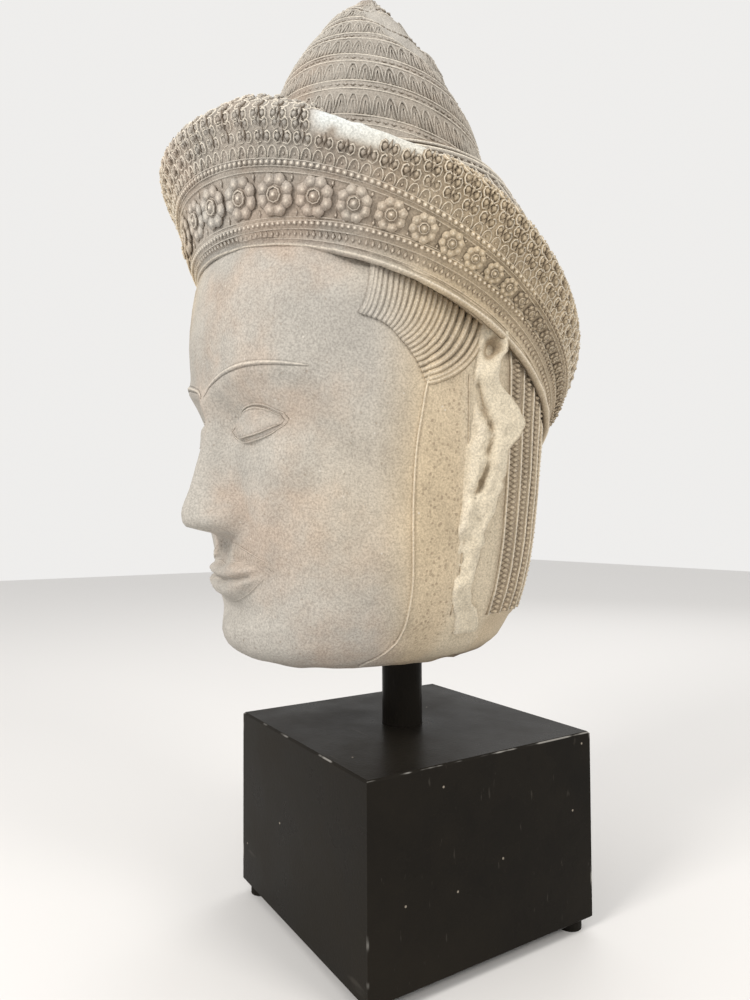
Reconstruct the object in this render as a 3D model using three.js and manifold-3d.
// Sandstone head of Vishnu on its stand
//
// Millimetres, +Z up. The face looks along -Y and the statue's left side is +X.
// The origin is the middle of the bounding box, on the surface that the feet stand on.
// The stone is carved in "parts", as a sculptor's canon divides a figure: every height,
// depth and width of the carving is a share of the height of the stone.

import * as THREE from "three";
import { mergeVertices } from "three/addons/utils/BufferGeometryUtils.js";
import Module from "manifold-3d";

const wasm = await Module();
wasm.setup();

// Driving dimensions of the stand
const blockWidth = 200;
const blockDepth = 200;
const blockHeight = 140;
const blockEdge = 1.5;
const footDiameter = 18;
const footHeight = 8;
const footInset = 12;
const postDiameter = 32;
const postForward = 5;
const postInBlock = 40;
const postInStone = 70;
const stoneAboveBlock = 58;
const fitClearance = 0.3;

// Driving dimension of the stone, and its canon
const stoneHeight = 520;
const partsHigh = 520;
const part = stoneHeight / partsHigh;

// Heights of the stone in parts, measured up from its underside
const chinBoss = 24;
const mouthLine = 63;
const noseBase = 95;
const eyeLine = 165;
const browLine = 191;
const crownPeak = 518;

// Plan of the stone in parts, measured from the middle of the block
const headMiddle = -22;
const crownMiddle = -28;
const crownLean = 0.2;

// Cross sections of the head: height, front, back and half width
const headSections = [
  { z: 0, front: -118, back: 44, half: 58 },
  { z: 5, front: -132, back: 54, half: 70 },
  { z: 15, front: -141, back: 66, half: 84 },
  { z: 35, front: -145, back: 76, half: 97 },
  { z: 60, front: -147, back: 82, half: 107 },
  { z: 92, front: -150, back: 86, half: 114 },
  { z: 130, front: -156, back: 90, half: 118 },
  { z: 170, front: -163, back: 94, half: 120 },
  { z: 210, front: -170, back: 98, half: 121 },
  { z: 250, front: -171, back: 102, half: 120 },
  { z: 300, front: -160, back: 104, half: 115 },
  { z: 350, front: -132, back: 92, half: 98 },
];

// Rings of the diadem, from the lip over the forehead to the rim: half width, front, back,
// then the height as a mean, a rise to the front and a saddle
const diademRings = {
  inside: { half: 96, front: -120, back: 70, mean: 240, rise: 62, saddle: -8 },
  under: { half: 124, front: -158, back: 96, mean: 228, rise: 63, saddle: -11 },
  lip: { half: 131, front: -166, back: 103, mean: 227, rise: 64, saddle: -11 },
  leaves: { half: 133, front: -168, back: 105, mean: 234, rise: 64, saddle: -11 },
  lowBeads: { half: 138, front: -171, back: 110, mean: 241, rise: 64, saddle: -11 },
  bandFoot: { half: 139, front: -172, back: 111, mean: 245, rise: 64, saddle: -10 },
  bandHead: { half: 145, front: -179, back: 115, mean: 257, rise: 76, saddle: -7 },
  highBeads: { half: 148, front: -182, back: 118, mean: 262, rise: 77, saddle: -6 },
  curlsFoot: { half: 149, front: -184, back: 119, mean: 267, rise: 78, saddle: -6 },
  curls: { half: 154, front: -190, back: 123, mean: 279, rise: 80, saddle: -7 },
  leafFoot: { half: 156, front: -193, back: 126, mean: 289, rise: 78, saddle: -8 },
  leafHeart: { half: 152, front: -187, back: 128, mean: 297, rise: 79, saddle: -8 },
  leafTip: { half: 145, front: -177, back: 129, mean: 304, rise: 79, saddle: -9 },
  rim: { half: 135, front: -163, back: 128, mean: 310, rise: 80, saddle: -9 },
  rimInside: { half: 118, front: -146, back: 116, mean: 304, rise: 74, saddle: -6 },
  floor: { half: 90, front: -118, back: 78, mean: 312, rise: 60, saddle: 0 },
};
const rosettesLargest = 33;
const rosettesSmallest = 12;
const rosetteRelief = 4;
const lastRosette = 2.3;

// Profile of the cap of hair behind the diadem, and of the cone above it
const capProfile = [
  { z: 190, r: 112 },
  { z: 240, r: 137 },
  { z: 275, r: 136 },
  { z: 300, r: 130 },
  { z: 328, r: 119 },
  { z: 359, r: 99 },
  { z: 380, r: 80 },
];
const coneTiers = [
  { z: 338, r: 98 },
  { z: 361, r: 93 },
  { z: 391, r: 85 },
  { z: 417, r: 77 },
  { z: 444, r: 65 },
  { z: 468, r: 51 },
  { z: 491, r: 36 },
];
const petalsRound = 17;
const petalRelief = 3.5;
const beadRowHeight = 7;
const breakDepth = 13;
const peakRadius = 13;

// Braids of the nape and combed hair of the temples
const braids = 13;
const braidRelief = 3.5;
const napeFoot = 36;
const hairRelief = 3.2;
const hairLocks = 8;

// How finely each form is divided
const headDivisions = 38;
const diademDivisions = 56;
const capDivisions = 32;
const rosettePoints = 6;
const earSides = 8;
const earStep = 18;

// Colours from the stone, the paint and the feet
const stoneColour = 0x9d8c76;
const paintColour = 0x15120f;
const footColour = 0x241a14;

const { abs, acos, cos, exp, hypot, max, min, PI, pow, sign, sin, sqrt } = Math;

function smooth(low, high, value) {
  const t = min(1, max(0, (value - low) / (high - low)));
  return t * t * (3 - 2 * t);
}

function bell(value, centre, spread) {
  return exp(-pow((value - centre) / spread, 2));
}

// A smooth curve through the rows of a table, by one of its columns
function along(table, column, z) {
  let i = 0;
  while (i < table.length - 2 && z > table[i + 1].z) i += 1;
  const a = table[max(0, i - 1)];
  const b = table[i];
  const c = table[i + 1];
  const d = table[min(table.length - 1, i + 2)];
  const t = min(1, max(0, (z - b.z) / (c.z - b.z)));
  const slopeB = ((c[column] - a[column]) / (c.z - a.z)) * (c.z - b.z);
  const slopeC = ((d[column] - b[column]) / (d.z - b.z)) * (c.z - b.z);
  const t2 = t * t;
  const t3 = t2 * t;
  return b[column] * (2 * t3 - 3 * t2 + 1) + slopeB * (t3 - 2 * t2 + t)
    + c[column] * (3 * t2 - 2 * t3) + slopeC * (t3 - t2);
}

// A quiet unevenness, the same on every run, for broken and worn stone
function uneven(x, y, z) {
  return sin(x * 0.131 + 1.7 * sin(y * 0.083)) * sin(y * 0.117 + z * 0.093)
    + 0.5 * sin(x * 0.29 + z * 0.23) * sin(y * 0.31 - z * 0.19 + 1.3);
}

// A closed body from rings of points, with a point that closes each end
function ringBody(rings) {
  const count = rings[0].length;
  const points = rings.flat();
  const middle = (ring) => ring.reduce((sum, p) => sum.map((v, k) => v + p[k] / count), [0, 0, 0]);
  const foot = points.push(middle(rings[0])) - 1;
  const head = points.push(middle(rings[rings.length - 1])) - 1;
  const faces = [];
  for (let i = 0; i < rings.length - 1; i += 1) {
    for (let j = 0; j < count; j += 1) {
      const k = (j + 1) % count;
      const a = i * count + j;
      const b = i * count + k;
      faces.push(a, b, b + count, a, b + count, a + count);
    }
  }
  const last = (rings.length - 1) * count;
  for (let j = 0; j < count; j += 1) {
    const k = (j + 1) % count;
    faces.push(foot, k, j, head, last + j, last + k);
  }
  return solidFrom(points.flat(), faces);
}

function solidFrom(coordinates, faces) {
  const mesh = new wasm.Mesh({
    numProp: 3,
    vertProperties: new Float32Array(coordinates),
    triVerts: new Uint32Array(faces),
  });
  return new wasm.Manifold(mesh);
}

function solidOf(geometry) {
  const bare = geometry.clone();
  bare.deleteAttribute("normal");
  bare.deleteAttribute("uv");
  const merged = mergeVertices(bare);
  return solidFrom(merged.attributes.position.array, merged.index.array);
}

function geometryOf(solid) {
  const mesh = solid.getMesh();
  const geometry = new THREE.BufferGeometry();
  geometry.setAttribute("position", new THREE.BufferAttribute(mesh.vertProperties, 3));
  geometry.setIndex(new THREE.BufferAttribute(mesh.triVerts, 1));
  return geometry;
}

// Head: its plain oval section, before any feature is carved
function headPoint(turn, z) {
  const half = along(headSections, "half", z);
  const front = along(headSections, "front", z);
  const back = along(headSections, "back", z);
  const c = cos(turn);
  const s = sin(turn);
  const squareness = c > 0 ? 0.84 : 0.95;
  const x = half * sign(s) * pow(abs(s), squareness);
  const depth = c > 0 ? headMiddle - front : back - headMiddle;
  return [x, headMiddle - sign(c) * depth * pow(abs(c), squareness), z];
}

// How far the features of the face stand out of that oval
function faceRelief(x, z) {
  const side = abs(x);
  const ridge = 5 + 30 * pow(smooth(176, 104, z), 1.25);
  const noseEnds = smooth(noseBase - 2, noseBase + 6, z) * smooth(196, 172, z);
  const bridge = 8 + 7 * smooth(160, 106, z);
  let out = ridge * noseEnds * bell(side, 0, bridge);
  out += 12 * bell(side, 17, 7) * bell(z, 102, 7);
  out -= 11 * bell(side, 40, 27) * bell(z, 168, 15);
  out -= 4 * bell(side, 20, 9) * bell(z, 172, 12);
  const lidHeight = max(0, 1 - pow((side - 43) / 23, 2));
  out += 8 * sqrt(lidHeight) * smooth(11 * lidHeight + 1, 11 * lidHeight - 5, abs(z - eyeLine));
  const brow = browLine + 12 * sin(min(1, side / 92) * PI * 0.8) - 4 * smooth(12, 0, side);
  out += 3.2 * bell(z, brow, 4) * smooth(98, 84, side);
  out += 5 * bell(side, 60, 30) * bell(z, 112, 30);
  out += 4 * bell(side, 0, 30) * bell(z, mouthLine + 4, 24);
  const corner = mouthLine + 5 * pow(min(1, side / 38), 2);
  const lips = smooth(41, 30, side);
  const bow = 11 - 4 * bell(side, 0, 5);
  out += 7 * lips * smooth(corner + bow + 2, corner + bow - 3, z) * smooth(corner, corner + 3, z);
  out += 8 * lips * smooth(corner, corner - 3, z) * smooth(corner - 17, corner - 9, z);
  out -= 3 * bell(side, 0, 4) * bell(z, 84, 8);
  out -= 5 * bell(side, 0, 26) * bell(z, 40, 7);
  out += 9 * bell(side, 0, 26) * bell(z, chinBoss, 15);
  return out;
}

// The strap of the beard, which leaves a thin edge beside the cheek and the jaw
function beardEdge(z) {
  return -70 + 6 * smooth(190, 60, z) * smooth(-20, 60, z) - 12 * smooth(40, 0, z);
}

function headRing(z, turns) {
  return turns.map((turn) => {
    const [x, y] = headPoint(turn, z);
    const front = smooth(-60, -120, y) * smooth(112, 88, abs(x));
    const strap = smooth(beardEdge(z) - 2, beardEdge(z) + 3, y) * smooth(228, 205, z);
    const step = 1.8 * strap * smooth(20, -10, y);
    const length = hypot(x, y - headMiddle);
    const out = faceRelief(x, z) * front;
    const broken = z < 6 ? 1.5 * uneven(x, y, z) + 1.5 : 0;
    return [
      x + (x / length) * step,
      y + ((y - headMiddle) / length) * step - out,
      z + broken,
    ];
  });
}

function makeHead() {
  const fineAt = (z) => max(
    bell(z, 2, 10),
    bell(z, mouthLine, 22),
    bell(z, noseBase + 5, 12),
    bell(z, (eyeLine + browLine) / 2, 24),
  );
  const heights = [];
  let z = 0;
  while (z < headSections[headSections.length - 1].z) {
    heights.push(z);
    z += z < browLine + 20 ? 13 - 8 * fineAt(z) : 40;
  }
  const turns = [];
  for (let k = 0; k < headDivisions; k += 1) {
    const share = (k / headDivisions) * 2 - 1;
    turns.push(PI * sign(share) * pow(abs(share), 1.5));
  }
  return ringBody(heights.map((height) => headRing(height, turns)));
}

// Diadem: one ring of it at a turn from the front
function ringPoint(ring, turn, outward = 0, upward = 0) {
  const c = cos(turn);
  const s = sin(turn);
  const depth = c > 0 ? crownMiddle - ring.front : ring.back - crownMiddle;
  const height = ring.mean + ring.rise * c + ring.saddle * cos(2 * turn);
  return [(ring.half + outward) * s, crownMiddle - (depth + outward) * c, height + upward];
}

function blend(a, b, share) {
  const mixed = {};
  for (const key of Object.keys(a)) mixed[key] = a[key] + (b[key] - a[key]) * share;
  return mixed;
}

function makeDiadem() {
  const r = diademRings;
  const beadLine = 2.2;
  const rows = [
    { ring: r.inside, out: 0 },
    { ring: r.under, out: 0 },
    { ring: r.lip, out: 0 },
    { ring: r.leaves, out: -1.5 },
    { ring: r.lowBeads, out: beadLine },
    { ring: r.bandFoot, out: 0 },
    { ring: r.bandHead, out: 0 },
    { ring: r.highBeads, out: beadLine },
    { ring: r.curlsFoot, out: -1 },
    { ring: r.curls, out: 2, lobes: 2, relief: 2.4 },
    { ring: r.leafFoot, out: 0, lobes: 1, relief: 2 },
    { ring: r.leafHeart, out: 2, lobes: 1, relief: 3 },
    { ring: r.leafTip, out: 1, lobes: 1, relief: 3 },
    { ring: r.rim, out: 0, lobes: 1, relief: 2.4 },
    { ring: r.rimInside, out: 0 },
    { ring: r.floor, out: 0 },
  ];
  return ringBody(rows.map(({ ring, out, lobes, relief }) => {
    const points = [];
    for (let k = 0; k < diademDivisions; k += 1) {
      const turn = (k / diademDivisions) * 2 * PI;
      const lobe = lobes ? relief * cos(turn * (diademDivisions / 4) * lobes) : 0;
      const worn = ring === r.rim ? 5 * bell(turn, 0.75, 0.35) : 0;
      points.push(ringPoint(ring, turn, out + lobe - worn, -worn));
    }
    return points;
  }));
}

// Rosettes: largest over the forehead and smaller towards the nape
function rosetteSize(turn) {
  return rosettesLargest + (rosettesSmallest - rosettesLargest) * smooth(0.3, 2.1, abs(turn));
}

function makeRosettes() {
  const middle = blend(diademRings.bandFoot, diademRings.bandHead, 0.5);
  const turns = [0];
  let turn = 0;
  while (turn < lastRosette) {
    const size = rosetteSize(turn);
    turn += (size + rosetteSize(turn + 0.15)) * 0.53 / middle.half;
    turns.push(turn, -turn);
  }
  return turns.map((place) => {
    const radius = rosetteSize(place) / 2;
    const centre = new THREE.Vector3(...ringPoint(middle, place));
    const ahead = new THREE.Vector3(...ringPoint(middle, place + 0.02)).sub(centre).normalize();
    const foot = new THREE.Vector3(...ringPoint(diademRings.bandFoot, place));
    const up = new THREE.Vector3(...ringPoint(diademRings.bandHead, place)).sub(foot).normalize();
    const out = ahead.clone().cross(up).normalize();
    return ringBody([-5, rosetteRelief].map((height) => {
      const points = [];
      for (let k = 0; k < rosettePoints; k += 1) {
        const angle = (k / rosettePoints) * 2 * PI;
        points.push(centre.clone()
          .addScaledVector(ahead, radius * cos(angle))
          .addScaledVector(up, radius * sin(angle))
          .addScaledVector(out, height).toArray());
      }
      return points;
    }));
  });
}

// Cap of hair and cone: rings that lean back, with the front edge higher
function crownRing(z, radius, lean, divisions, relief) {
  const points = [];
  for (let k = 0; k < divisions; k += 1) {
    const turn = (k / divisions) * 2 * PI;
    const r = radius + relief(turn);
    points.push([r * sin(turn), crownMiddle - r * cos(turn), z + lean * r * cos(turn)]);
  }
  return points;
}

function makeCap() {
  const braid = (turn) => 1.6 * cos(turn * capDivisions / 2);
  return ringBody(capProfile.map(({ z, r }) => crownRing(z, r, 0, capDivisions, braid)));
}

// The lost part of the cone: its back and its left side are broken away
function broken(turn, z) {
  const share = smooth(coneTiers[2].z, crownPeak, z);
  return breakDepth * share * (0.5 - 0.5 * cos(turn + 0.6)) * (1 + 0.35 * sin(turn * 5 + z * 0.11));
}

function makeCone() {
  const divisions = petalsRound * 2;
  const rings = [crownRing(coneTiers[0].z, coneTiers[0].r, crownLean, divisions, () => 0)];
  for (let i = 1; i < coneTiers.length; i += 1) {
    const tier = coneTiers[i];
    const next = coneTiers[i + 1] ?? { z: crownPeak, r: peakRadius };
    const radius = (share) => tier.r + (next.r - tier.r) * share;
    const height = (share) => tier.z + (next.z - tier.z) * share;
    const row = (share, out, petals) => rings.push(crownRing(
      height(share), radius(share), crownLean, divisions,
      (turn) => out + petals * cos(turn * petalsRound) - broken(turn, height(share)),
    ));
    const beads = beadRowHeight / (next.z - tier.z);
    row(beads / 2, 2, 0);
    row(beads + 0.05, -0.8, petalRelief / 2);
    row(0.85, 0.4, petalRelief / 2);
  }
  rings.push(crownRing(crownPeak, peakRadius, crownLean, divisions, (turn) => 2 * sin(turn * 3)));
  return ringBody(rings);
}

// Broken ear: a rough upright ridge where the long ear has come away
function makeEar(side) {
  const spine = [
    { z: 30, x: 100, y: -38, wide: 9, deep: 9 },
    { z: 46, x: 107, y: -34, wide: 13, deep: 12 },
    { z: 80, x: 113, y: -31, wide: 14, deep: 11 },
    { z: 119, x: 118, y: -25, wide: 15, deep: 11 },
    { z: 150, x: 120, y: -14, wide: 16, deep: 17 },
    { z: 180, x: 121, y: -9, wide: 17, deep: 20 },
    { z: 208, x: 121, y: -14, wide: 17, deep: 17 },
    { z: 236, x: 116, y: -18, wide: 12, deep: 11 },
  ];
  const rings = [];
  for (let z = spine[0].z; z <= spine[spine.length - 1].z; z += earStep) {
    const ring = [];
    for (let k = 0; k < earSides; k += 1) {
      const angle = (k / earSides) * 2 * PI;
      const rough = 1 + 0.16 * sin(z * 0.19 + k * 2.1) + 0.1 * sin(z * 0.07 - k);
      const x = along(spine, "x", z) + along(spine, "wide", z) * rough * cos(angle);
      const y = along(spine, "y", z) + along(spine, "deep", z) * rough * sin(angle);
      ring.push([side * x, y, z]);
    }
    rings.push(side > 0 ? ring : ring.reverse());
  }
  return ringBody(rings);
}

// Temple hair: a raised plate of combed locks that hangs from the diadem
function makeTempleHair(side) {
  const topTurn = (share) => 0.80 + 0.78 * share;
  const footY = (share) => -104 + 66 * share;
  const footZ = (share) => 232 - 44 * sin(min(1, share * 1.35) * PI / 2) + 8 * smooth(0.7, 1, share);
  const rows = [0, 0.5, 1];
  const layers = [];
  for (const out of [-8, hairRelief]) {
    for (let k = 0; k <= hairLocks * 2; k += 1) {
      const share = k / (hairLocks * 2);
      for (const down of rows) {
        const top = ringPoint(diademRings.under, topTurn(share), 0, 6);
        const z = top[2] + (footZ(share) - top[2]) * down;
        const y = top[1] + (footY(share) - top[1]) * pow(down, 1.3);
        const front = along(headSections, "front", z);
        const turn = acos(pow(min(1, max(0, (headMiddle - y) / (headMiddle - front))), 1 / 0.84));
        const [x] = headPoint(turn, z);
        const groove = out > 0 && k % 2 === 0 ? 1.8 : 0;
        const length = hypot(x, y - headMiddle);
        const lift = (out - groove) / length;
        layers.push([side * x * (1 + lift), y + (y - headMiddle) * lift, z]);
      }
    }
  }
  return plateBody(layers, hairLocks * 2 + 1, rows.length, side > 0);
}

// Nape hair: upright braids that come down from the diadem and end at the neck
function makeNape() {
  const layers = [];
  const heights = [napeFoot, 80, 130, 215];
  for (const inner of [true, false]) {
    for (let k = 0; k <= braids * 2; k += 1) {
      const turn = PI * (0.6 + 0.8 * (k / (braids * 2)));
      for (const z of heights) {
        const [x, y] = headPoint(turn, z);
        const length = hypot(x, y - headMiddle);
        const step = (inner ? -12 : (k % 2) * braidRelief) / length;
        layers.push([x * (1 + step), y + (y - headMiddle) * step, z]);
      }
    }
  }
  return plateBody(layers, braids * 2 + 1, heights.length, false);
}

// A closed plate from two grids of points, the inner one first
function plateBody(points, long, wide, outward) {
  const faces = [];
  const quad = (a, b, c, d) => {
    if (outward) faces.push(a, b, c, a, c, d);
    else faces.push(a, c, b, a, d, c);
  };
  const layer = long * wide;
  const at = (i, j, k) => k * layer + i * wide + j;
  for (let i = 0; i < long - 1; i += 1) {
    for (let j = 0; j < wide - 1; j += 1) {
      quad(at(i, j, 1), at(i, j + 1, 1), at(i + 1, j + 1, 1), at(i + 1, j, 1));
      quad(at(i, j, 0), at(i + 1, j, 0), at(i + 1, j + 1, 0), at(i, j + 1, 0));
    }
    quad(at(i, 0, 0), at(i, 0, 1), at(i + 1, 0, 1), at(i + 1, 0, 0));
    quad(at(i, wide - 1, 0), at(i + 1, wide - 1, 0), at(i + 1, wide - 1, 1), at(i, wide - 1, 1));
  }
  for (let j = 0; j < wide - 1; j += 1) {
    quad(at(0, j, 0), at(0, j + 1, 0), at(0, j + 1, 1), at(0, j, 1));
    const e = long - 1;
    quad(at(e, j, 0), at(e, j, 1), at(e, j + 1, 1), at(e, j + 1, 0));
  }
  return solidFrom(points.flat(), faces);
}

// Stand
const feetTop = footHeight;
const blockTop = feetTop + blockHeight;
const postFoot = blockTop - postInBlock;
const stoneFoot = blockTop + stoneAboveBlock;
const postHead = stoneFoot + postInStone;

function upright(diameter, low, high, sides = 32) {
  const geometry = new THREE.CylinderGeometry(diameter / 2, diameter / 2, high - low, sides);
  geometry.rotateX(PI / 2);
  geometry.translate(0, 0, (low + high) / 2);
  return geometry;
}

// The hole that the post stands in, wider and deeper than the post by its clearance
function postHole(low, high) {
  const hole = upright(postDiameter + 2 * fitClearance, low, high);
  hole.translate(0, -postForward, 0);
  return solidOf(hole);
}

function makeBlock() {
  const inset = blockEdge;
  const outline = new THREE.Shape();
  const x = blockWidth / 2 - inset;
  const y = blockDepth / 2 - inset;
  outline.moveTo(-x, -y);
  outline.lineTo(x, -y);
  outline.lineTo(x, y);
  outline.lineTo(-x, y);
  const geometry = new THREE.ExtrudeGeometry(outline, {
    depth: blockHeight - 2 * inset,
    bevelThickness: inset,
    bevelSize: inset,
    bevelSegments: 1,
  });
  geometry.translate(0, 0, feetTop + inset);
  return geometryOf(solidOf(geometry).subtract(postHole(postFoot - fitClearance, blockTop + 1)));
}

function makeStone() {
  const carving = [makeHead(), makeDiadem(), makeCap(), makeCone(), makeNape()];
  for (const side of [1, -1]) carving.push(makeEar(side), makeTempleHair(side));
  carving.push(...makeRosettes());
  const stone = carving.reduce((sum, next) => sum.add(next));
  const scaled = stone.scale([part, part, part]).translate([0, 0, stoneFoot]);
  return geometryOf(scaled.subtract(postHole(blockTop, postHead + fitClearance)));
}

function paint(colour, roughness, metalness = 0) {
  return new THREE.MeshStandardMaterial({ color: colour, roughness, metalness });
}

const sandstone = paint(stoneColour, 0.92);
const blackPaint = paint(paintColour, 0.38);
const blackMetal = paint(paintColour, 0.35, 0.4);
const darkRubber = paint(footColour, 0.7);

const head = new THREE.Group();

function addPiece(name, geometry, material) {
  const mesh = new THREE.Mesh(geometry, material);
  mesh.name = name;
  head.add(mesh);
}

addPiece("stone_head", makeStone(), sandstone);
const post = upright(postDiameter, postFoot, postHead);
post.translate(0, -postForward, 0);
addPiece("stand_post", post, blackMetal);
addPiece("stand_block", makeBlock(), blackPaint);
for (const [sideName, x] of [["left", 1], ["right", -1]]) {
  for (const [endName, y] of [["front", -1], ["back", 1]]) {
    const foot = upright(footDiameter, 0, footHeight - fitClearance, 16);
    foot.translate(x * (blockWidth / 2 - footInset), y * (blockDepth / 2 - footInset), 0);
    addPiece(`foot_${endName}_${sideName}`, foot, darkRubber);
  }
}

// The origin: the middle of everything in plan, on the surface that the feet stand on
const middle = new THREE.Box3().setFromObject(head).getCenter(new THREE.Vector3());
head.position.set(-middle.x, -middle.y, 0);
head.updateMatrixWorld(true);

export default head;
